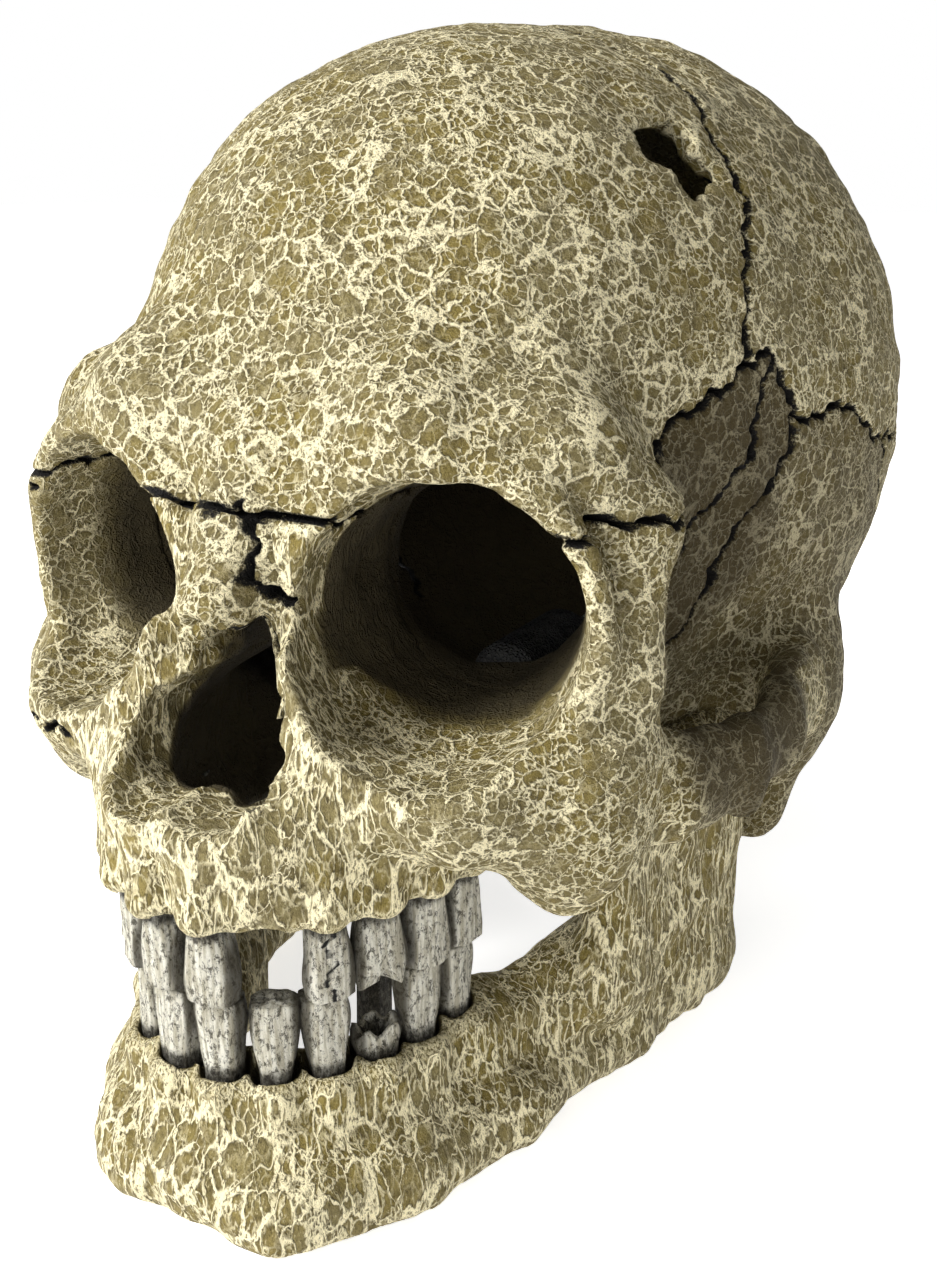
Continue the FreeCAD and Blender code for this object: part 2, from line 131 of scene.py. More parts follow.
class Carving:
    """A distance field that bulges are added to and hollows are taken from."""

    def __init__(self, x_axis):
        self.x_axis = x_axis
        self.field = np.full((len(x_axis), len(ys), len(zs)), EMPTY, dtype=np.float32)

    def add(self, low, high, shape, k):
        """Blends a shape in between two corners of the grid; k is how far the blend reaches."""
        slices, p = window(low, high, self.x_axis)
        self.field[slices] = soft_min(self.field[slices], shape(p).astype(np.float32), k)

    def cut(self, low, high, shape, k):
        slices, p = window(low, high, self.x_axis)
        self.field[slices] = soft_max(self.field[slices], -shape(p).astype(np.float32), k)

    def one_ball(self, change, centre, radii, k):
        low, high = reach_of([centre], max(radii) + 2 * k + BALL_MARGIN)
        change(low, high, lambda p: ball(p, centre, radii), k)

    def chain(self, change, stops, k, squash):
        """A chain of bars through stops (x, y, z, radius)."""
        for a, b in zip(stops, stops[1:]):
            low, high = reach_of([a[:3], b[:3]], max(a[3], b[3]) * max(squash) + 2 * k + ROD_MARGIN)
            change(low, high, lambda p: rod(p, a[:3], b[:3], a[3], b[3], squash), k)

    def add_ball(self, centre, radii, k):
        self.one_ball(self.add, centre, radii, k)

    def cut_ball(self, centre, radii, k):
        self.one_ball(self.cut, centre, radii, k)

    def add_rods(self, stops, k, squash=(1, 1, 1)):
        self.chain(self.add, stops, k, squash)

    def cut_rods(self, stops, k, squash=(1, 1, 1)):
        self.chain(self.cut, stops, k, squash)


# ---------------------------------------------------------------------------------------------
# Cranium and face
# ---------------------------------------------------------------------------------------------

ORBIT = (33.0, -80.0, 98.0)
ORBIT_TURN = math.radians(15)
ORBIT_RADIUS = 20.5
ORBIT_DEEP = 38.0
ORBIT_END = 16.5
# Each dental arch: the y of its back end, its half width and its depth
UPPER_ARCH = (-60.0, 27.5, 37.5)
LOWER_ARCH = (-60.0, 26.0, 36.0)
ARCH_STEPS = 8
GUM_UPPER = 53.0
GUM_LOWER = 27.0
WALL = 4.6
TEMPLE_CUTS = [((71, -36, 92), (17, 22, 34)), ((60, -34, 66), (12, 15, 20))]


def along_orbit(distance):
    return (
        ORBIT[0] - math.sin(ORBIT_TURN) * distance,
        ORBIT[1] + math.cos(ORBIT_TURN) * distance,
        ORBIT[2],
    )


def orbit_frame(x, y, origin=ORBIT):
    """How far a place is to the side of the orbit's axis, and how far back along it."""
    s, c = math.sin(ORBIT_TURN), math.cos(ORBIT_TURN)
    dx, dy = x - origin[0], y - origin[1]
    return c * dx + s * dy, -s * dx + c * dy


def arch_places(arch, inset):
    """Places spread along half a dental arch, from the front to the back."""
    middle, wide, deep = arch
    for step in range(ARCH_STEPS + 1):
        angle = math.radians(5 + 85 * step / ARCH_STEPS)
        yield (wide - inset) * math.sin(angle), middle - (deep - inset) * math.cos(angle)


def arch_yaw(arch, x, y):
    """Direction of the dental arch at a tooth, as an angle about Z."""
    middle, wide, deep = arch
    angle = math.atan2(abs(x) / wide, (middle - y) / deep)
    yaw = math.atan2(deep * math.sin(angle), wide * math.cos(angle))
    return math.copysign(yaw, x)


skull = Carving(xs)
skull.add_ball((0, 27, 112), (67.5, 76, 73), 1)
skull.add_ball((0, -16, 121), (55, 58, 60), 16)
skull.add_ball((0, 22, 66), (52, 56, 33), 14)
skull.add_ball((0, -28, 92), (45, 42, 34), 14)
outer_case = skull.field.copy()

# Face: brow, bridge of the nose, muzzle and gum band
skull.add_rods([(5, -70, 122, 4.5), (24, -71, 124, 5), (43, -60, 120, 4.5), (52, -53, 111, 5)], 16)
skull.add_ball((0, -64, 104), (30, 14, 24), 12)
skull.add_rods([(0, -74, 118, 7), (0, -79, 108, 5.5), (0, -86, 99, 6)], 6)
skull.add_ball((0, -60, 70), (35, 34, 26), 8)
skull.add_rods([(17, -84, 92, 6), (26, -82, 78, 8)], 8)
for x, y in arch_places(UPPER_ARCH, 1):
    skull.add_rods([(x, y, 57, 4.9), (x, y, 69, 6.6)], 4)

# Cheekbone, its process beside the orbit, and the arch to the ear
skull.add_rods([(22, -82, 76, 8), (36, -76, 74, 9.5), (47, -65, 73, 11)], 8)
skull.add_ball((47, -64, 66), (11, 11, 15), 8)
skull.add_rods([(50, -62, 78, 8), (52, -59, 92, 6), (52, -56, 108, 6.5)], 6)
skull.add_rods([(52, -60, 70, 5.2), (61, -45, 68, 4), (65, -24, 69, 3.6), (62, 0, 69, 4.2)], 5, (1, 1, 1.9))

# Ear region and mastoid
skull.add_ball((54, 14, 66), (12, 17, 17), 10)
skull.add_rods([(54, 14, 60, 10), (52, 10, 38, 6.5)], 7)

# Temple hollow behind the orbit's outer rim, and the dip below the orbit
for centre, radii in TEMPLE_CUTS:
    skull.cut_ball(centre, radii, 6)
skull.add_rods([(58, -50, 68, 4.6), (64, -34, 68, 3.8), (65, -18, 69, 3.6), (62, 0, 69, 4.2)], 3, (1, 1, 1.9))
skull.cut_ball((27, -101, 76), (8, 10, 11), 7)


def ring(p, centre, radius, thick):
    """Distance to a ring square to the orbit's axis."""
    aside, deep = orbit_frame(p[0], p[1], centre)
    return np.sqrt((np.sqrt(aside**2 + (p[2] - centre[2]) ** 2) - radius) ** 2 + deep**2) - thick


low, high = reach_of([along_orbit(4)], 38)
skull.add(low, high, lambda p: ring(p, along_orbit(6), ORBIT_RADIUS + 2.2, 2.6), 4)

# Hollow inside
inner = Carving(xs)
inner.field = outer_case + WALL
inner.add_ball((0, -24, 100), (47, 50, 36), 6)
for centre, radii in TEMPLE_CUTS:
    inner.cut_ball(centre, [r + WALL for r in radii], 3)
inner.add_ball((0, -62, 64), (25, 27, 22), 6)
inner.add_rods([(0, 16, 60, 22), (0, 18, 20, 24)], 6, (1, 1.3, 1))
inner.add_rods([(0, -58, 62, 17), (0, -52, 20, 20)], 6)
skull.field = soft_max(skull.field, -inner.field, 1.5)

# Orbit sleeves reach back into the hollow, and the orbit runs through them
low, high = reach_of([along_orbit(0), along_orbit(ORBIT_DEEP)], 30)


def sleeve(p):
    """The orbit's side wall, from the rim's plane back to its depth."""
    behind = orbit_frame(p[0], p[1])[1]
    wall = rod(p, along_orbit(0), along_orbit(ORBIT_DEEP), ORBIT_RADIUS + 3.4, ORBIT_END + 3.2)
    return np.maximum(wall, np.maximum(5.0 - behind, behind - ORBIT_DEEP))


skull.add(low, high, sleeve, 2)
orbit_stops = ((-14, ORBIT_RADIUS + 1.5), (5, ORBIT_RADIUS), (ORBIT_DEEP, ORBIT_END), (60, ORBIT_END))
skull.cut_rods([(*along_orbit(deep), radius) for deep, radius in orbit_stops], 1.5)


def nose(p):
    """Pear-shaped opening, point up, two lobes below with the spine between them."""
    x, z = p[0], p[2]
    lobe = np.sqrt((x - 6.2) ** 2 + ((z - 77.5) * 0.95) ** 2) - 7.6
    top = np.sqrt(x**2 + ((z - 90) * 0.75) ** 2) - 5.4
    narrow = soft_min(lobe, top, 6)
    return np.maximum(narrow, p[1] + 50)


skull.cut((0, -115, 64), (20, -45, 104), nose, 1.2)

# Open base of the hollow
skull.field = np.maximum(skull.field, 34.0 - zs.reshape(1, 1, -1))


# ---------------------------------------------------------------------------------------------
# Lower jaw
# ---------------------------------------------------------------------------------------------

jaw = Carving(xs)
for x, y in arch_places(LOWER_ARCH, 0):
    jaw.add_rods([(x, y, 10, 7.5), (x, y + 1, 23, 4.9)], 5)
jaw.add_rods([(0, -96, 6, 9), (14, -93, 5, 9), (24, -80, 5, 8), (33, -58, 6, 7.5)], 7)
jaw.add_rods([(33, -58, 7, 7.5), (41, -30, 8, 7), (46, -4, 10, 7)], 6)
jaw.add_rods([(28, -58, 20, 6), (37, -38, 22, 6), (42, -22, 26, 5.5)], 7)
for stops in (
    [(43, -38, 24, 5), (45, -34, 62, 4)],
    [(44, -24, 20, 5), (46, -20, 56, 4)],
    [(45, -10, 14, 5.5), (47, -8, 56, 4.5)],
    [(46, -2, 12, 6), (48, 0, 60, 5.5)],
):
    jaw.add_rods(stops, 9, (1, 1.6, 1))
jaw.field = soft_max(jaw.field, 0.6 - zs.reshape(1, 1, -1), 1.2)


# ---------------------------------------------------------------------------------------------
# Noise, whole grid, and the uneven features
# ---------------------------------------------------------------------------------------------

full_xs = np.concatenate([-xs[::-1], xs])
full_x, all_y, all_z = full_xs.reshape(-1, 1, 1), ys.reshape(1, -1, 1), zs.reshape(1, 1, -1)


def both_sides(half):
    return np.concatenate([half[::-1], half], axis=0)


def lattice_weights(values, spacing):
    """Rows that blend a coarse lattice smoothly onto an axis."""
    place = (values - values[0]) / spacing
    cell = np.floor(place).astype(int)
    share = place - cell
    share = share * share * (3 - 2 * share)
    rows = np.zeros((len(values), cell.max() + 2), dtype=np.float32)
    rows[np.arange(len(values)), cell] = 1 - share
    rows[np.arange(len(values)), cell + 1] = share
    return rows


def lumps(spacing, seed, shape_axes):
    """Smooth noise between -1 and 1 over a grid, with lumps as large as spacing."""
    weights = [lattice_weights(values, s) for values, s in zip(shape_axes, spacing)]
    lattice = np.random.default_rng(seed).uniform(-1, 1, [w.shape[1] for w in weights]).astype(np.float32)
    field = np.tensordot(weights[0], lattice, (1, 0))
    field = np.tensordot(field, weights[1], (1, 1))
    return np.tensordot(field, weights[2], (1, 1))


whole = Carving(full_xs)
whole.field = both_sides(skull.field)
jaw_whole = Carving(full_xs)
jaw_whole.field = both_sides(jaw.field)
axes = (full_xs, ys, zs)
relief = 0.55 * lumps((7, 7, 7), SEED, axes) + 0.3 * lumps((3.2, 3.2, 3.2), SEED + 1, axes)
whole.field += relief
jaw_whole.field += relief + 0.35 * lumps((2.6, 2.6, 9), SEED + 2, axes)

# Chipped edge of the nose opening
pitting = lumps((2.3, 2.3, 2.3), SEED + 3, axes)
slices, p = window((-22, -112, 60), (22, -50, 108), full_xs)
pitted_nose = nose([np.abs(p[0]), p[1], p[2]]) + 1.3 * pitting[slices] - 0.2
whole.field[slices] = np.maximum(whole.field[slices], -pitted_nose)


def teeth_nodes(word):
    return [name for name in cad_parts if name.startswith(word) or name.startswith("broken_" + word)]


def middle_of(name):
    low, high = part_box(name)
    return [(a + b) / 2 / MM for a, b in zip(low, high)]


# Root flutes above each tooth and scallops at the gum line
for word, arch, gum, up in (("upper", UPPER_ARCH, GUM_UPPER, 1), ("lower", LOWER_ARCH, GUM_LOWER, -1)):
    carving = whole if word == "upper" else jaw_whole
    for name in teeth_nodes(word):
        x, y, _ = middle_of(name)
        yaw = arch_yaw(arch, x, y)
        out = (math.sin(abs(yaw)) * math.copysign(1, x), -math.cos(yaw))
        fx, fy = x + 3.4 * out[0], y + 3.4 * out[1]
        carving.add_rods([(fx, fy, gum + up * 3, 3.2), (fx * 0.98, fy + 1, gum + up * 13, 2.2)], 2.5)
        carving.cut_rods([(x, y, gum - up * 14, 4.4), (x, y, gum + up * 0.6, 4.0)], 1.0)

# The empty sockets
for x, y, gum, up, carving in (
    (11.9, -93.7, GUM_UPPER, 1, whole),
    (-17.3, -86.8, GUM_LOWER, -1, jaw_whole),
):
    carving.cut_rods([(x, y, gum - up * 8, 3.4), (x, y, gum + up * 4, 2.8)], 1.0)

# Broken hole in the crown, straight through the wall and wider on its inner side
HOLE = (42.0, -19.0, 161.0)
HOLE_AXIS = (0.73, -0.21, 0.65)
HOLE_ALONG = (0.276, 0.961, 0.0)
HOLE_UP = (-0.625, 0.18, 0.76)
HOLE_STRETCH = 1.3
HOLE_DEPTH = 14.0
HOLE_FLARE = 0.8
HOLE_LIP = 0.8
FLARE_DEPTH = 6
HOLE_CORNERS = (5.9, 3.9, 6.4, 4.4, 5.8, 3.7, 6.2, 4.5, 6.5)


def crown_hole(p):
    away = [a - b for a, b in zip(p, HOLE)]
    deep, along, up = (sum(a * b for a, b in zip(away, way)) for way in (HOLE_AXIS, HOLE_ALONG, HOLE_UP))
    turn = (np.arctan2(up, along) / (2 * math.pi) + 0.5) * len(HOLE_CORNERS)
    corners = np.array(HOLE_CORNERS + HOLE_CORNERS[:1], dtype=np.float32)
    first = np.clip(turn.astype(int), 0, len(HOLE_CORNERS) - 1)
    edge = corners[first] + (corners[first + 1] - corners[first]) * (turn - first)
    edge = edge + HOLE_FLARE * np.clip(-deep - HOLE_LIP, 0, FLARE_DEPTH)
    return np.maximum(np.hypot(along, up) / HOLE_STRETCH - edge, -HOLE_DEPTH - deep)


slices, p = window((18, -42, 135), (60, 6, 190), full_xs)
broken_edge = crown_hole(p) + 1.2 * pitting[slices]
whole.field[slices] = soft_max(whole.field[slices], -broken_edge, 0.6)


# ---------------------------------------------------------------------------------------------
# Cracks: lines in the side view (y, z) or the front view (x, z)
# ---------------------------------------------------------------------------------------------

CORONAL = [(2, 230), (2, 190), (-2, 172), (-9, 156), (-17, 142), (-24, 130)]
SPHENOID_FRONT = [(-24, 130), (-33, 125), (-44, 117), (-58, 112), (-110, 112)]
SQUAMOUS = [(-24, 130), (-16, 130), (-8, 121), (10, 119), (28, 110)]
SPHENOID_BACK = [(-8, 121), (-16, 108), (-24, 96), (-32, 80), (-32, -10)]
OCCIPITAL_TOP = [(28, 110), (50, 112), (76, 120), (120, 124)]
OCCIPITAL_FRONT = [(28, 110), (37, 94), (42, 60), (42, -10)]
FACE_BACK = [(-52, 112), (-52, -10)]


def wander(u, v, side):
    """Moves a point of a side view a little, so that straight lines come out as rough cracks."""
    phase = 1.3 if side > 0 else 4.1
    du = 1.1 * np.sin(v * 0.31 + phase) + 0.6 * np.sin(v * 0.83 + 2 * phase) + 0.35 * np.sin(v * 1.9)
    dv = 1.1 * np.sin(u * 0.27 + 2.2 * phase) + 0.6 * np.sin(u * 0.91 + phase) + 0.35 * np.sin(u * 2.1)
    return u + du, v + dv


def line_distance(u, v, line):
    nearest = None
    for (u0, v0), (u1, v1) in zip(line, line[1:]):
        du, dv = u1 - u0, v1 - v0
        share = np.clip(((u - u0) * du + (v - v0) * dv) / (du * du + dv * dv), 0, 1)
        away = np.hypot(u - u0 - share * du, v - v0 - share * dv)
        nearest = away if nearest is None else np.minimum(nearest, away)
    return nearest


def region_distance(u, v, corners):
    """Signed distance to a closed outline, negative inside."""
    inside = np.zeros(np.broadcast(u, v).shape, dtype=bool)
    for (u0, v0), (u1, v1) in zip(corners, corners[1:] + corners[:1]):
        crosses = ((v0 > v) != (v1 > v)) & (u < (u1 - u0) * (v - v0) / (v1 - v0 + 1e-9) + u0)
        inside ^= crosses
    away = line_distance(u, v, list(corners) + [corners[0]])
    return np.where(inside, -away, away)


SKY = 230
REGIONS = {
    "frontal_bone": [(-120, SKY)] + CORONAL + SPHENOID_FRONT[1:-1] + [(-120, 112)],
    "parietal_bone": CORONAL + SQUAMOUS[1:] + OCCIPITAL_TOP[1:] + [(120, SKY)],
    "sphenoid": SQUAMOUS[:3] + SPHENOID_BACK[1:] + [FACE_BACK[1], FACE_BACK[0], (-44, 117), (-33, 125)],
    "temporal_bone": SQUAMOUS[2:] + OCCIPITAL_FRONT[1:] + list(reversed(SPHENOID_BACK))[:-1],
    "occipital_bone": OCCIPITAL_TOP + [(120, -10)] + list(reversed(OCCIPITAL_FRONT))[:-1],
    "face": [(-120, 112), (-52, 112), (-52, -10), (-120, -10)],
}
GROOVE = 0.6
GROOVE_DEEP = 3.5


def side_view(corners):
    """Signed distance of an outline over the whole grid, rough on each side in its own way."""
    u, v = ys.reshape(-1, 1), zs.reshape(1, -1)
    halves = []
    for side in (-1, 1):
        halves.append(region_distance(*wander(u, v, side), corners).astype(np.float32))
    return np.where(full_x < 0, halves[0][None], halves[1][None])


depth = np.clip(-whole.field / GROOVE_DEEP, 0, 1)
groove = GROOVE * (1 - depth)


BAND = 5.0


def mesh_from(field, name):
    """Surface of a field's inside as a Blender mesh in metres, sides facing out."""
    grid = openvdb.FloatGrid(BAND)
    grid.copyFromArray(np.ascontiguousarray(np.clip(field, -BAND, BAND), dtype=np.float32))
    points, quads = grid.convertToQuads(0.0)
    points = points * VOXEL + np.array([full_xs[0], ys[0], zs[0]], dtype=np.float32)
    mesh = bpy.data.meshes.new(name)
    mesh.vertices.add(len(points))
    mesh.vertices.foreach_set("co", (points * MM).astype(np.float32).ravel())
    mesh.loops.add(quads.size)
    mesh.loops.foreach_set("vertex_index", quads[:, ::-1].astype(np.int32).ravel())
    mesh.polygons.add(len(quads))
    mesh.polygons.foreach_set("loop_start", np.arange(0, quads.size, 4, dtype=np.int32))
    mesh.update(calc_edges=True)
    mesh.validate()
    mesh.polygons.foreach_set("use_smooth", np.ones(len(mesh.polygons), dtype=bool))
    return mesh


def sample(field, points):
    """Value of a grid at points in millimetres, blended between voxels."""
    place = (points - np.array([full_xs[0], ys[0], zs[0]])) / VOXEL
    top = np.array(field.shape) - 2
    cell = np.clip(np.floor(place).astype(int), 0, top)
    share = np.clip(place - cell, 0, 1)
    total = np.zeros(len(points))
    for corner in range(8):
        step = np.array([corner & 1, corner >> 1 & 1, corner >> 2 & 1])
        weight = np.prod(np.where(step, share, 1 - share), axis=1)
        at = cell + step
        total += weight * field[at[:, 0], at[:, 1], at[:, 2]]
    return total


def blur(field, reach):
    """Box average over a few voxels each way."""
    for number in range(3):
        total = np.zeros_like(field)
        for step in range(-reach, reach + 1):
            total += np.roll(field, step, axis=number)
        field = total / (2 * reach + 1)
    return field


inner_whole = both_sides(inner.field)

# ---------------------------------------------------------------------------------------------
# Plates: the whole field divided among the CAD nodes
# ---------------------------------------------------------------------------------------------

VISIBLE_SIDE = [CORONAL, SPHENOID_FRONT, SQUAMOUS, SPHENOID_BACK[:4], OCCIPITAL_TOP, OCCIPITAL_FRONT[:3]]
# Cracks that cross one plate: which way they are seen, which side they are on, and their line.
SURFACE_CRACKS = [
    ("front", 1, [(2, 113), (6, 106), (7, 101), (12, 98)]),
    ("front", 1, [(11, 88), (14, 83), (12.5, 79), (13.5, 75)]),
    ("front", 1, [(5, 95), (8, 91)]),
    ("front", -1, [(-30, 74), (-38, 71), (-46, 72.5), (-54, 69), (-66, 70)]),
    ("front", -1, [(-54, 109), (-46, 110), (-38, 113)]),
    ("side", 1, [(-16, 130), (-20, 118), (-30, 108), (-36, 96), (-40, 84)]),
]
# Seams that show as cracks are open within this reach of their line. The rest are closed, with an overlap.
SEAM_REACH = 1.8
SEAM_OVERLAP = 0.3
NASAL = [(-6, 130), (6, 130), (9.5, 91), (-9.5, 91)]
CHEEK_FRONT = [(41, 130), (90, 130), (90, 40), (37, 58), (33, 79)]

u_grid, v_grid = ys.reshape(-1, 1), zs.reshape(1, -1)
nearest_visible = []
for side in (-1, 1):
    u, v = wander(u_grid, v_grid, side)
    to_lines = [line_distance(u, v, line) for line in VISIBLE_SIDE]
    nearest_visible.append(np.min(to_lines, axis=0).astype(np.float32))
near_crack = np.where(full_x < 0, nearest_visible[0][None], nearest_visible[1][None])
near_crack = np.clip(SEAM_REACH - near_crack, 0, 1)
seam = groove * near_crack - SEAM_OVERLAP * (1 - near_crack)


def off_face(x, y, z):
    """Over 0 behind the face and inside the eye openings, where the front view's cracks don't run."""
    aside = orbit_frame(np.abs(x), y)[0]
    return np.maximum(y + 52, ORBIT_RADIUS + 1.2 - np.sqrt(aside**2 + (z - ORBIT[2]) ** 2))


for view, side, line in SURFACE_CRACKS:
    if view == "front":
        u, v = wander(full_xs.reshape(-1, 1), v_grid, side)
        away = line_distance(u, v, line)[:, None, :]
        behind = off_face(full_x, all_y, all_z)
        elsewhere = (behind > 0) | (full_x * side < 0)
    else:
        u, v = wander(u_grid, v_grid, side)
        away = line_distance(u, v, line)[None]
        elsewhere = full_x * side < 0
    cut_away = np.where(elsewhere, -BAND, groove - away).astype(np.float32)
    whole.field = np.maximum(whole.field, cut_away)

arch_zone = Carving(xs)
arch_zone.add_rods([(52, -62, 68, 15), (62, -44, 68, 9), (66, -24, 69, 8), (64, -3, 69, 8)], 1)
cheek_front = region_distance(xs.reshape(-1, 1), v_grid, CHEEK_FRONT)[:, None, :]
cheek_zone = np.maximum(cheek_front, all_y + 50)
cheek_zone = np.minimum(arch_zone.field, cheek_zone).astype(np.float32)
cheek_zone = np.maximum(cheek_zone, all_z - 112)
cheek_zone = both_sides(cheek_zone)
nasal_zone = region_distance(full_xs.reshape(-1, 1), v_grid, NASAL)[:, None, :].astype(np.float32)

curve = blur(whole.field, 2) - whole.field
jaw_curve = blur(jaw_whole.field, 2) - jaw_whole.field


CRACK_REACH = 3.0


def crack_distance(points):
    """Millimetres from each point to the nearest painted crack, up to CRACK_REACH."""
    nearest = np.full(len(points), CRACK_REACH)
    for side in (-1, 1):
        here = points[:, 0] * side >= 0
        u, v = wander(points[here, 1], points[here, 2], side)
        away = np.min([line_distance(u, v, line) for line in VISIBLE_SIDE], axis=0)
        nearest[here] = np.minimum(nearest[here], away)
    for view, side, line in SURFACE_CRACKS:
        here = points[:, 0] * side >= 0
        if view == "front":
            here &= off_face(points[:, 0], points[:, 1], points[:, 2]) < 0
            u, v = wander(points[here, 0], points[here, 2], side)
        else:
            u, v = wander(points[here, 1], points[here, 2], side)
        nearest[here] = np.minimum(nearest[here], line_distance(u, v, line))
    return nearest


def put_marks(mesh, crack, inside, edge, stain):
    """Stores what the materials read, one number a point under each name."""
    for name, values in (("crack", crack), ("inside", inside), ("edge", edge), ("stain", stain)):
        mesh.attributes.new(name, "FLOAT", "POINT").data.foreach_set("value", values.astype(np.float32))


def points_of(mesh):
    points = np.empty(len(mesh.vertices) * 3, dtype=np.float32)
    mesh.vertices.foreach_get("co", points)
    return points.reshape(-1, 3).astype(np.float64) / MM


def opening_shade(points):
    """Painted shade in the eye and nose openings: 0 outside them, rising to 1 some way into them."""
    x, y, z = points.T
    aside, deep = orbit_frame(np.abs(x), y)
    in_eye = 1 - step_between(np.sqrt(aside**2 + (z - ORBIT[2]) ** 2), ORBIT_RADIUS + 0.6, ORBIT_RADIUS + 2.2)
    in_nose = 1 - step_between(np.maximum(np.abs(x) - 13.5, np.abs(z - 81) - 15.5), -0.5, 1.0)
    dark = np.maximum(in_eye * step_between(deep, 6, 24), in_nose * step_between(y, -84, -70))
    return dark * (y < -25)


def socket_shade_and_rim(points, word, gum):
    """How far inside a socket of one row of teeth each point is, for the painted shade in it, and how near
    its raised rim; both 0 to 1.
    """
    away = np.full(len(points), 50.0)
    for name in teeth_nodes(word):
        x, y, _ = middle_of(name)
        away = np.minimum(away, np.hypot(points[:, 0] - x, points[:, 1] - y))
    dark = (1 - step_between(away, 3.7, 4.7)) * (np.abs(points[:, 2] - gum) < 7)
    rim = step_between(away, 4.2, 4.9) * (1 - step_between(away, 5.6, 7.4))
    return dark, rim * (1 - step_between(np.abs(points[:, 2] - gum), 1.6, 3.6))


# How much darker each plate is than the face: partly a browner tint of its own, partly painted shade
PLATE_TINT_AND_SHADE = {"sphenoid": 1.2, "temporal": 0.9, "parietal": 0.2, "occipital": 0.3}


def mark_bone(mesh, is_jaw):
    """A plate's marks: cracks, the insides darkened by their coat and by painted shade, convex edges and gum
    rims, and painted shade in its dips and the temple hollow.
    """
    points = points_of(mesh)
    dark, rim = socket_shade_and_rim(points, *(("lower", GUM_LOWER) if is_jaw else ("upper", GUM_UPPER)))
    edge = np.maximum(sample(jaw_curve if is_jaw else curve, points), rim)
    # Painted shade where the surface is concave, plus each plate's own darker tint and painted shade
    stain = 1.5 * np.clip(-edge, 0, 1) + PLATE_TINT_AND_SHADE.get(mesh.name.split("_")[0], 0)
    if is_jaw:
        crack, inside = np.full(len(points), CRACK_REACH), dark
    else:
        crack = crack_distance(points)
        # Darker inside the hollow: partly the dark coat there, partly painted shade; a little less dark
        # towards the top
        hollow = 1 - step_between(sample(inner_whole, points), 0.6, 2.6)
        hollow *= 1 - 0.5 * step_between(points[:, 2], 125, 145)
        inside = np.maximum(np.maximum(hollow, opening_shade(points)), dark)
        # Painted shade in the temple hollow behind the orbit's outer rim
        centre, radii = TEMPLE_CUTS[0]
        from_temple = np.stack([np.abs(points[:, 0]), points[:, 1], points[:, 2]], axis=1) - centre
        stain += 1.5 * (1 - step_between(np.linalg.norm(from_temple / radii, axis=1), 0.8, 1.5))
    put_marks(mesh, crack, inside, edge, np.clip(stain, 0, 3))


def add_piece(mesh, name, material, *nodes):
    piece = bpy.data.objects.new(name, mesh)
    bpy.context.scene.collection.objects.link(piece)
    mesh.materials.append(material)
    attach(piece, "root")
    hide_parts(*nodes)
    return piece


# ---------------------------------------------------------------------------------------------
# Materials
# ---------------------------------------------------------------------------------------------


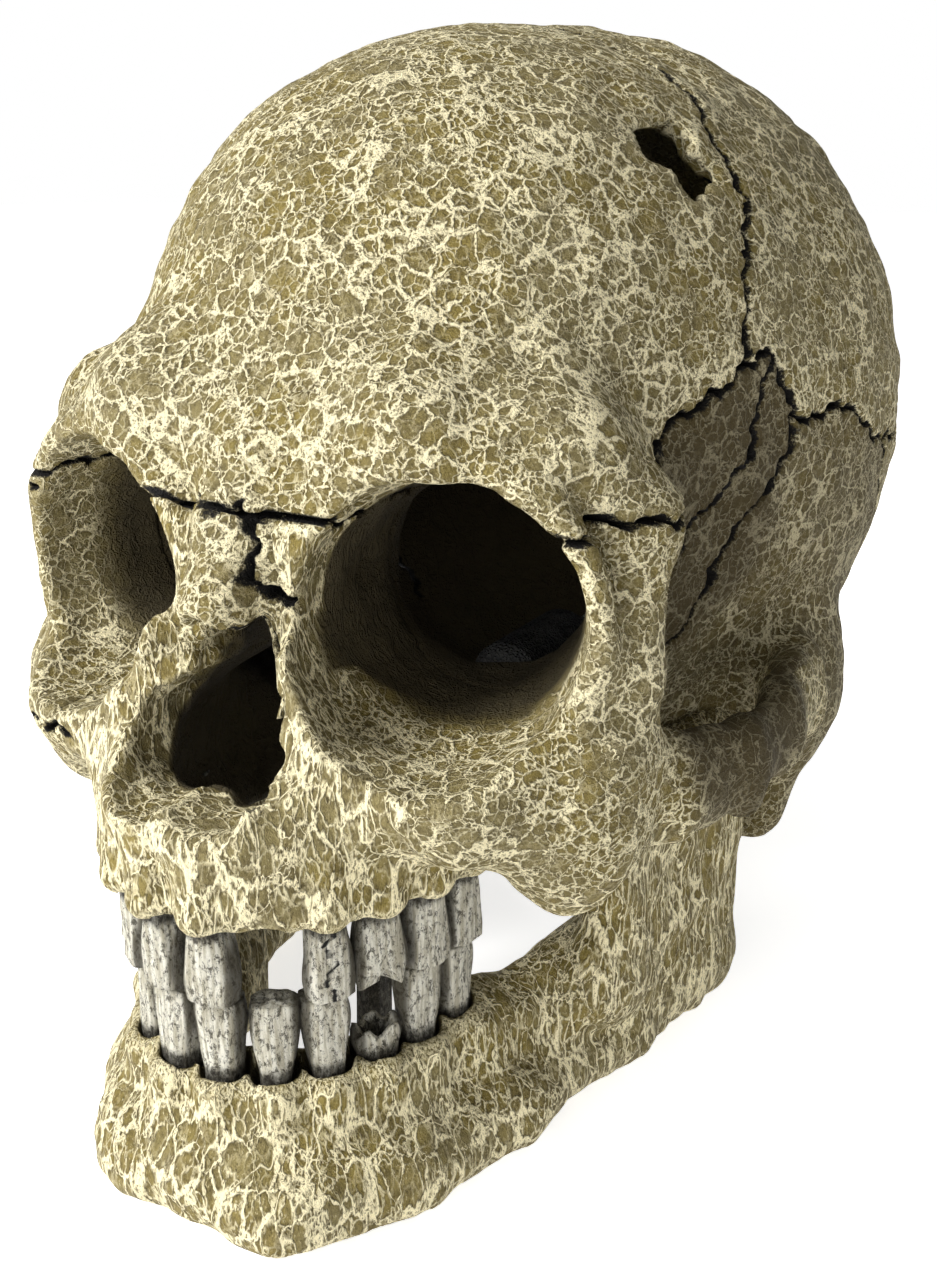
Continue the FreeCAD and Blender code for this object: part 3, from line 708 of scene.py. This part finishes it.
class Graph:
    """A short way to write a material's nodes."""

    def __init__(self, name):
        self.material = bpy.data.materials.new(name)
        self.material.use_nodes = True
        self.tree = self.material.node_tree
        self.shader = self.tree.nodes["Principled BSDF"]

    def put(self, socket, value):
        if isinstance(value, bpy.types.NodeSocket):
            self.tree.links.new(value, socket)
        elif value is not None:
            socket.default_value = value

    def node(self, kind, settings=None, **inputs):
        made = self.tree.nodes.new(kind)
        for key, value in (settings or {}).items():
            setattr(made, key, value)
        for key, value in inputs.items():
            self.put(made.inputs[key.replace("_", " ")], value)
        return made

    def math(self, operation, a, b=None, clamp=False):
        made = self.tree.nodes.new("ShaderNodeMath")
        made.operation = operation
        made.use_clamp = clamp
        self.put(made.inputs[0], a)
        self.put(made.inputs[1], b)
        return made.outputs[0]

    def range(self, value, low, high, to_low=0.0, to_high=1.0):
        made = self.node("ShaderNodeMapRange", {"interpolation_type": "SMOOTHSTEP"}, Value=value)
        for number, bound in enumerate((low, high, to_low, to_high)):
            self.put(made.inputs[number + 1], bound)
        return made.outputs[0]

    def mix(self, share, a, b, blend="MIX"):
        made = self.tree.nodes.new("ShaderNodeMix")
        made.data_type = "RGBA"
        made.blend_type = blend
        self.put(made.inputs["Factor"], share)
        self.put(made.inputs["A"], (*a, 1) if isinstance(a, tuple) else a)
        self.put(made.inputs["B"], (*b, 1) if isinstance(b, tuple) else b)
        return made.outputs["Result"]

    def position(self, scale=(1, 1, 1)):
        """Object coordinates in millimetres, scaled each way."""
        coordinates = self.tree.nodes.new("ShaderNodeTexCoord").outputs["Object"]
        made = self.tree.nodes.new("ShaderNodeVectorMath")
        made.operation = "MULTIPLY"
        self.put(made.inputs[0], coordinates)
        made.inputs[1].default_value = tuple(v / MM for v in scale)
        return made.outputs[0]

    def noise(self, where, scale, detail=3.0, rough=0.55):
        inputs = {"Vector": where, "Scale": scale, "Detail": detail, "Roughness": rough}
        made = self.node("ShaderNodeTexNoise", None, **inputs)
        return made.outputs["Fac"], made.outputs["Color"]

    def cells(self, where, scale):
        made = self.node("ShaderNodeTexVoronoi", {"feature": "DISTANCE_TO_EDGE"}, Vector=where, Scale=scale)
        return made.outputs["Distance"]

    def shifted(self, where, scale, amount):
        """Coordinates pushed about by noise, so that cells lose their straight sides."""
        colour = self.noise(where, scale, 2.0)[1]
        made = self.tree.nodes.new("ShaderNodeVectorMath")
        made.operation = "MULTIPLY_ADD"
        self.put(made.inputs[0], colour)
        made.inputs[1].default_value = (amount, amount, amount)
        self.put(made.inputs[2], where)
        return made.outputs[0]

    def bump(self, height, distance, strength=1.0, under=None):
        made = self.node("ShaderNodeBump", None, Strength=strength, Distance=distance * MM, Height=height)
        if under is not None:
            self.put(made.inputs["Normal"], under)
        return made.outputs["Normal"]

    def marks(self, *names):
        """What put_marks stored under each name."""
        return [self.node("ShaderNodeAttribute", {"attribute_name": name}).outputs["Fac"] for name in names]

    def finish(self, colour, roughness, normal=None, specular=0.35):
        self.put(self.shader.inputs["Base Color"], colour)
        self.put(self.shader.inputs["Roughness"], roughness)
        if normal is not None:
            self.put(self.shader.inputs["Normal"], normal)
        self.shader.inputs["Specular IOR Level"].default_value = specular
        return self.material


OLIVE = (0.25, 0.192, 0.052)
GREY_TAN = (0.26, 0.213, 0.09)
BROWN = (0.062, 0.044, 0.014)
IVORY = (0.95, 0.85, 0.55)
NEAR_BLACK = (0.006, 0.005, 0.004)
DARK_COAT_AND_SHADE = (0.07, 0.056, 0.03)


def bone_material(name, streaked):
    """Olive-tan resin under an ivory dry-brushed network, black in the cracks, dark inside with painted shade
    there too, and painted shade in its dips and beside the strands.
    """
    g = Graph(name)
    crack, inside, edge, stain = g.marks("crack", "inside", "edge", "stain")
    plain = g.position()
    where = g.position((1, 1, 0.42)) if streaked else plain
    patches = g.noise(plain, 0.05, 3.0)[0]
    mottled = g.noise(plain, 0.4, 4.0, 0.65)[0]
    grain = g.noise(where, 2.4, 4.0, 0.7)[0]
    base = g.mix(g.range(patches, 0.4, 0.6), OLIVE, GREY_TAN)
    base = g.mix(g.range(mottled, 0.42, 0.7, 0.0, 0.5), base, BROWN)
    # Painted shade in the dips and the temple hollow, with each plate's darker tint, in brown
    base = g.mix(g.range(stain, 0.2, 1.4, 0.0, 0.95), base, BROWN)

    # Two networks of cells, the coarse one thick in places, both broken up by the grain
    coarse_where = g.shifted(g.shifted(where, 0.25, 3.0), 0.8, 1.5)
    fine_where = g.shifted(where, 0.8, 1.7)
    weight = g.noise(plain, 0.13, 2.0)[0]
    thick = g.range(weight, 0.36, 0.66, 0.02, 0.145)
    coarse_cells = g.cells(coarse_where, 0.27)
    coarse = g.range(coarse_cells, g.math("MULTIPLY", thick, 0.35), thick, 1.0, 0.0)
    fine = g.range(g.cells(fine_where, 0.52), 0.02, 0.13, 1.0, 0.0)
    fine = g.math("MULTIPLY", fine, g.range(g.noise(plain, 0.17, 3.0)[0], 0.36, 0.58, 0.15, 0.85))
    strands = g.math("MAXIMUM", coarse, fine)
    if streaked:
        upright = g.noise(g.shifted(g.position((1, 1, 0.12)), 0.3, 1.2), 0.2, 1.0)[0]
        ridge = g.math("ABSOLUTE", g.math("SUBTRACT", upright, 0.5))
        strands = g.math("MAXIMUM", strands, g.range(ridge, 0.004, 0.022, 1.0, 0.0))
    # Painted shadow in a band beside the thick strands, as if they stood up from the surface
    strand_shade = g.range(coarse_cells, thick, g.math("ADD", thick, 0.16), 0.5, 0.0)
    base = g.mix(g.math("MULTIPLY", strand_shade, g.range(grain, 0.4, 0.6, 1.0, 0.3)), base, BROWN)
    paint = g.math("MULTIPLY", strands, g.range(grain, 0.36, 0.50, 0.1, 1.0))
    rubbed = g.math("MULTIPLY", g.range(edge, 0.2, 0.9, 0.0, 0.7), g.range(grain, 0.42, 0.56))
    stipple = g.range(grain, 0.56, 0.70, 0.0, 0.5)
    paint = g.math("MAXIMUM", g.math("MAXIMUM", paint, rubbed), stipple)
    # Less ivory under the painted shade and tint, and none inside
    paint = g.math("MULTIPLY", paint, g.range(stain, 1.45, 0.3, 0.2, 1.0))
    paint = g.math("MULTIPLY", paint, g.range(inside, 0.1, 0.7, 1.0, 0.0))
    colour = g.mix(g.range(grain, 0.44, 0.32, 0.0, 0.8), base, BROWN)
    colour = g.mix(paint, colour, IVORY)
    # The inside's dark coat and painted shade
    colour = g.mix(g.range(inside, 0.2, 0.9, 0.0, 0.95), colour, DARK_COAT_AND_SHADE)
    ragged = g.math("ADD", crack, g.math("MULTIPLY", g.math("SUBTRACT", grain, 0.5), 0.9))
    colour = g.mix(g.range(ragged, 0.9, 0.5), colour, NEAR_BLACK)

    height = g.math("ADD", strands, g.math("MULTIPLY", grain, 1.2))
    normal = g.bump(height, 1.1)
    return g.finish(colour, g.range(paint, 0.0, 1.0, 0.7, 0.92), normal, 0.16)


TOOTH_PALE = (0.86, 0.83, 0.71)
TOOTH_SHADE = (0.52, 0.48, 0.36)
TOOTH_WASH = (0.07, 0.06, 0.04)
TOOTH_SIDE_SHADE = (0.045, 0.037, 0.022)
TOOTH_ROOT_SHADE = (0.022, 0.018, 0.012)


def tooth_material():
    """Off-white resin under a speckled dark wash, with painted shade on the sides that face the next teeth
    and, blackest, at the socket.
    """
    g = Graph("tooth")
    crack, root, edge = g.marks("crack", "inside", "edge")
    streaks = g.noise(g.position((1.4, 1.4, 0.12)), 1.0, 2.0)[0]
    cream = g.mix(g.range(streaks, 0.35, 0.65), TOOTH_PALE, TOOTH_SHADE)
    speckle = g.noise(g.shifted(g.position((1, 1, 0.55)), 0.9, 0.9), 1.15, 6.0, 0.85)[0]
    wash = g.range(speckle, 0.50, 0.58, 0.0, 0.9)
    colour = g.mix(wash, cream, TOOTH_WASH)
    # Painted shade on the sides that face the next teeth
    colour = g.mix(g.range(edge, 0.15, 1.0, 0.0, 0.85), colour, TOOTH_SIDE_SHADE)
    # Painted shade at the socket, broken up by the speckle
    uneven = g.math("ADD", root, g.math("MULTIPLY", g.math("SUBTRACT", speckle, 0.5), 1.6))
    colour = g.mix(g.range(uneven, 0.3, 1.1, 0.0, 0.95), colour, TOOTH_ROOT_SHADE)
    colour = g.mix(g.range(crack, 0.6, 0.3), colour, NEAR_BLACK)
    normal = g.bump(g.math("SUBTRACT", 0.0, speckle), 1.6)
    return g.finish(colour, 0.7, normal, 0.2)


STONE_PIT = (0.10, 0.10, 0.095)
STONE_DARK = (0.035, 0.035, 0.035)
STONE_PATCH = (0.14, 0.14, 0.13)
SILICONE = (0.78, 0.84, 0.84)
CLEAR_PLASTIC = (0.62, 0.72, 0.76)
RUBBER = (0.014, 0.014, 0.015)
DUSTY_RUBBER = (0.035, 0.034, 0.032)


def stone_material():
    """Dark grey grains, as the sintered air stones of aquariums have."""
    g = Graph("porous_stone")
    plain = g.position()
    grains = g.node("ShaderNodeTexVoronoi", None, Vector=plain, Scale=1.6)
    tone = g.range(grains.outputs["Distance"], 0.1, 0.8)
    colour = g.mix(tone, STONE_PIT, STONE_DARK)
    colour = g.mix(g.range(g.noise(plain, 0.2)[0], 0.4, 0.7, 0.0, 0.5), colour, STONE_PATCH)
    return g.finish(colour, 0.95, g.bump(g.math("SUBTRACT", 1.0, tone), 0.5), 0.2)


def clear_material(name, tint, roughness):
    g = Graph(name)
    plain = g.position()
    faint = g.noise(plain, 0.15, 3.0)[0]
    colour = g.mix(g.range(faint, 0.3, 0.7), tint, tuple(0.85 * v for v in tint))
    g.shader.inputs["Transmission Weight"].default_value = 0.75
    g.shader.inputs["IOR"].default_value = 1.42
    return g.finish(colour, g.range(faint, 0.3, 0.7, roughness, roughness + 0.1), g.bump(faint, 0.05), 0.5)


def rubber_material():
    g = Graph("rubber")
    plain = g.position()
    grain = g.noise(plain, 2.2, 3.0)[0]
    dusty = g.noise(plain, 0.2, 2.0)[0]
    colour = g.mix(g.range(dusty, 0.4, 0.7), RUBBER, DUSTY_RUBBER)
    return g.finish(colour, g.range(grain, 0.3, 0.7, 0.5, 0.68), g.bump(grain, 0.08), 0.4)


plates_material = bone_material("bone", False)
streaked_material = bone_material("bone_streaked", True)
tooth_look = tooth_material()


# ---------------------------------------------------------------------------------------------
# Bone pieces
# ---------------------------------------------------------------------------------------------

bone_fields = {}
frontal = side_view(REGIONS["frontal_bone"])
bone_fields["frontal_bone"] = frontal + seam
bone_fields["parietal_bone"] = side_view(REGIONS["parietal_bone"]) + seam
bone_fields["occipital_bone"] = side_view(REGIONS["occipital_bone"]) + seam
for plate in ("sphenoid", "temporal_bone"):
    zone = np.maximum(side_view(REGIONS[plate]) + seam, -cheek_zone - SEAM_OVERLAP)
    for side_name, side in (("left", 1), ("right", -1)):
        bone_fields[plate + "_" + side_name] = np.maximum(zone, -side * full_x - SEAM_OVERLAP)
face = side_view(REGIONS["face"]) + seam
bone_fields["nasal_bones"] = np.maximum(face, nasal_zone - SEAM_OVERLAP)
bone_fields["facial_bone"] = np.maximum(face, np.maximum(-nasal_zone, -cheek_zone) - SEAM_OVERLAP)
for side_name, side in (("left", 1), ("right", -1)):
    zone = np.maximum(cheek_zone - SEAM_OVERLAP, seam - frontal)
    bone_fields["cheekbone_" + side_name] = np.maximum(zone, -side * full_x)

for name, zone in bone_fields.items():
    mesh = mesh_from(np.maximum(whole.field, zone), name)
    mark_bone(mesh, False)
    add_piece(mesh, "bone_" + name, streaked_material if name == "facial_bone" else plates_material, name)
jaw_mesh = mesh_from(jaw_whole.field, "lower_jaw")
mark_bone(jaw_mesh, True)
add_piece(jaw_mesh, "bone_lower_jaw", streaked_material, "lower_jaw")


# ---------------------------------------------------------------------------------------------
# Teeth
# ---------------------------------------------------------------------------------------------

TOOTH_AROUND = 40
TOOTH_ALONG = 26
# How wide the last rings of a tooth are, as its end closes over, and how square its section is
TIP_RINGS = (0.93, 0.8, 0.62, 0.42, 0.2, 0.02)
SQUARENESS = 0.78
CHIPPED = ("upper_first_premolar_left",)
CRACKED = ("upper_canine_left",)


def tooth_mesh(name, arch, up, order):
    """A worn peg: narrow at the root, widest before the bite, with a rounded or broken end."""
    low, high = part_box(name)
    x, y, _ = middle_of(name)
    yaw = arch_yaw(arch, x, y)
    rng = np.random.default_rng(SEED + 100 + order)
    phases = rng.uniform(0, 2 * math.pi, 8)
    root_z, tip_z = (high[2] / MM, low[2] / MM) if up > 0 else (low[2] / MM, high[2] / MM)
    stump = name.startswith("broken")
    half_wide = (3.9 if "central" in name or "molar" in name else 3.7) + rng.uniform(-0.15, 0.2)
    half_deep = 3.5 + rng.uniform(-0.1, 0.2)
    lean = rng.uniform(-0.05, 0.05)
    share = np.concatenate([np.linspace(0, 1, TOOTH_ALONG), np.ones(len(TIP_RINGS))])
    closing = np.concatenate([np.ones(TOOTH_ALONG), TIP_RINGS])
    turn = np.linspace(0, 2 * math.pi, TOOTH_AROUND, endpoint=False)
    t, a = np.meshgrid(share, turn, indexing="ij")
    shrink = np.repeat(closing[:, None], TOOTH_AROUND, axis=1)
    cosine = np.sign(np.cos(a)) * np.abs(np.cos(a)) ** SQUARENESS
    sine = np.sign(np.sin(a)) * np.abs(np.sin(a)) ** SQUARENESS
    swell = 0.74 + 0.35 * step_between(t, 0.15, 0.85) - 0.09 * step_between(t, 0.86, 1.0)
    flutes = 0.10 * np.sin(7 * a + phases[0] + 1.2 * t) + 0.07 * np.sin(11 * a + phases[1])
    dents = 0.10 * np.sin(5 * t + phases[2] + 2 * a) + 0.08 * np.sin(12 * t + phases[3] + 3 * a)
    rough = (flutes + dents) * shrink
    local_x = (half_wide * swell + rough) * cosine * shrink + lean * t * 10
    local_y = (half_deep * (1.0 - 0.22 * t) + rough) * sine * shrink
    length = abs(tip_z - root_z)
    end = 0.5 * np.cos(2 * a + phases[4]) * (1 - shrink) + 0.35 * (1 - shrink)
    along = t * (length - 0.6) + end
    if name in CHIPPED:
        along -= step_between(t, 0.7, 1.0) * (1.6 + 1.3 * np.sin(3 * a + 1) + 0.9 * np.sin(7 * a) * shrink)
    if stump:
        ragged = t * 0.9 * np.sin(5 * a + phases[5]) * shrink
        along = t * length - step_between(1 - shrink, 0.2, 0.9) * 3.5 + ragged
    z = root_z + math.copysign(1, tip_z - root_z) * along
    c, s = math.cos(yaw), math.sin(yaw)
    out_lean = 0.9 * t if up > 0 else 0.3 * t
    local_y = local_y - out_lean
    turned = (x + c * local_x - s * local_y, y + s * local_x + c * local_y, z)
    points = np.stack(turned, axis=-1).reshape(-1, 3)
    faces = []
    rings = len(share)
    for ring_number in range(rings - 1):
        for corner in range(TOOTH_AROUND):
            after = (corner + 1) % TOOTH_AROUND
            here, beyond = ring_number * TOOTH_AROUND, (ring_number + 1) * TOOTH_AROUND
            quad = [here + corner, here + after, beyond + after, beyond + corner]
            faces.append(quad if tip_z > root_z else quad[::-1])
    bottom = list(range(TOOTH_AROUND))
    top = [(rings - 1) * TOOTH_AROUND + corner for corner in bottom]
    faces.append(bottom[::-1] if tip_z > root_z else bottom)
    faces.append(top if tip_z > root_z else top[::-1])
    mesh = bpy.data.meshes.new(name)
    mesh.from_pydata((points * MM).tolist(), [], faces)
    mesh.polygons.foreach_set("use_smooth", np.ones(len(mesh.polygons), dtype=bool))
    # Painted shade where the tooth goes into its socket, full below the gum line
    gum = GUM_UPPER if up > 0 else GUM_LOWER
    above_gum = np.abs(points[:, 2] - gum)
    buried = (points[:, 2] - gum) * up > 0
    root = np.where(buried, 1.0, 1 - step_between(above_gum, 0.1, 3.4))
    crack = np.full(len(points), CRACK_REACH)
    if name in CRACKED:
        zigzag = 0.7 * np.sin(points[:, 2] * 1.1) + 0.4 * np.sin(points[:, 2] * 2.7)
        crack = np.abs(local_x.reshape(-1) - zigzag)
    if stump:
        # The same darkening also covers a broken stump's end
        root = np.maximum(root, step_between(1 - shrink.reshape(-1), 0.1, 0.5))
    # Painted shade on the sides that face the next teeth, from how far out across the tooth a point is
    between = np.abs(local_x / half_wide).reshape(-1)
    put_marks(mesh, crack, root, step_between(between, 0.62, 0.98), np.zeros(len(points)))
    return mesh


for word, arch, up in (("upper", UPPER_ARCH, 1), ("lower", LOWER_ARCH, -1)):
    for order, name in enumerate(sorted(teeth_nodes(word))):
        add_piece(tooth_mesh(name, arch, up, order + 50 * (up > 0)), "tooth_" + name, tooth_look, name)


# ---------------------------------------------------------------------------------------------
# Air fitting: the CAD shapes with finished materials
# ---------------------------------------------------------------------------------------------

AIR_LOOKS = {
    "air_stone": stone_material(),
    "air_tube": clear_material("silicone", SILICONE, 0.25),
    "air_connector": clear_material("clear_plastic", CLEAR_PLASTIC, 0.12),
    "inlet_grommet": rubber_material(),
}
AIR_LOOKS["stone_stem"] = AIR_LOOKS["air_connector"]
for name, material in AIR_LOOKS.items():
    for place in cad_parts[name].material_slots:
        place.material = material


# ---------------------------------------------------------------------------------------------
# Floor, light and camera
# ---------------------------------------------------------------------------------------------


FLOOR_REACH = 6.0
FLOOR_GLOW = 0.7


def pale_floor(reach):
    mesh = bpy.data.meshes.new("floor")
    corners = [(-reach, -reach, 0), (reach, -reach, 0), (reach, reach, 0), (-reach, reach, 0)]
    mesh.from_pydata(corners, [], [(0, 1, 2, 3)])
    floor = bpy.data.objects.new("floor", mesh)
    bpy.context.scene.collection.objects.link(floor)
    g = Graph("floor")
    tone = g.noise(g.position((0.02, 0.02, 0.02)), 1.0, 2.0)[0]
    g.shader.inputs["Emission Color"].default_value = (1, 1, 1, 1)
    g.shader.inputs["Emission Strength"].default_value = FLOOR_GLOW
    mesh.materials.append(g.finish(g.mix(tone, (0.86, 0.86, 0.86), (0.90, 0.90, 0.90)), 0.7, None, 0.2))


def aim(thing, target):
    """Points an object's -Z at a place, with its top up."""
    direction = [t - p for t, p in zip(target, thing.location)]
    flat = math.hypot(direction[0], direction[1])
    rise = math.pi / 2 + math.atan2(direction[2], flat)
    thing.rotation_euler = (rise, 0, math.atan2(-direction[0], direction[1]))


def soft_light(name, place, target, size, power):
    light = bpy.data.lights.new(name, "AREA")
    light.size = size
    light.energy = power
    lamp = bpy.data.objects.new(name, light)
    lamp.location = place
    aim(lamp, target)
    bpy.context.scene.collection.objects.link(lamp)


def white_world(seen, lighting):
    """A white surround: one strength where it is looked at, a softer one for the light it gives."""
    world = bpy.data.worlds.new("world")
    world.use_nodes = True
    nodes, links = world.node_tree.nodes, world.node_tree.links
    background = nodes["Background"]
    background.inputs["Color"].default_value = (1.0, 1.0, 1.0, 1)
    rays = nodes.new("ShaderNodeLightPath")
    strength = nodes.new("ShaderNodeMapRange")
    strength.inputs["To Min"].default_value = lighting
    strength.inputs["To Max"].default_value = seen
    links.new(rays.outputs["Is Camera Ray"], strength.inputs["Value"])
    links.new(strength.outputs["Result"], background.inputs["Strength"])
    bpy.context.scene.world = world


CENTRE = (0.0, -0.0125, 0.0715)
LIGHTS = (
    ("key", (-0.62, -0.72, 0.78), 0.4, 24.0),
    ("front", (0.1, -1.0, 0.25), 0.5, 4.5),
)
pale_floor(FLOOR_REACH)
bpy.context.scene.view_settings.view_transform = "Standard"
white_world(seen=1.0, lighting=0.38)
for name, place, size, power in LIGHTS:
    soft_light(name, place, CENTRE, size, power)

AZIMUTH = math.radians(30)
ELEVATION = math.radians(19)
DISTANCE = 0.267
LENS = 38
camera_data = bpy.data.cameras.new("camera")
camera_data.lens = LENS
camera = bpy.data.objects.new("camera", camera_data)
flat = DISTANCE * math.cos(ELEVATION)
camera.location = (
    CENTRE[0] + flat * math.sin(AZIMUTH),
    CENTRE[1] - flat * math.cos(AZIMUTH),
    CENTRE[2] + DISTANCE * math.sin(ELEVATION),
)
aim(camera, CENTRE)
camera_data.clip_start = 0.01
bpy.context.scene.collection.objects.link(camera)
bpy.context.scene.camera = camera
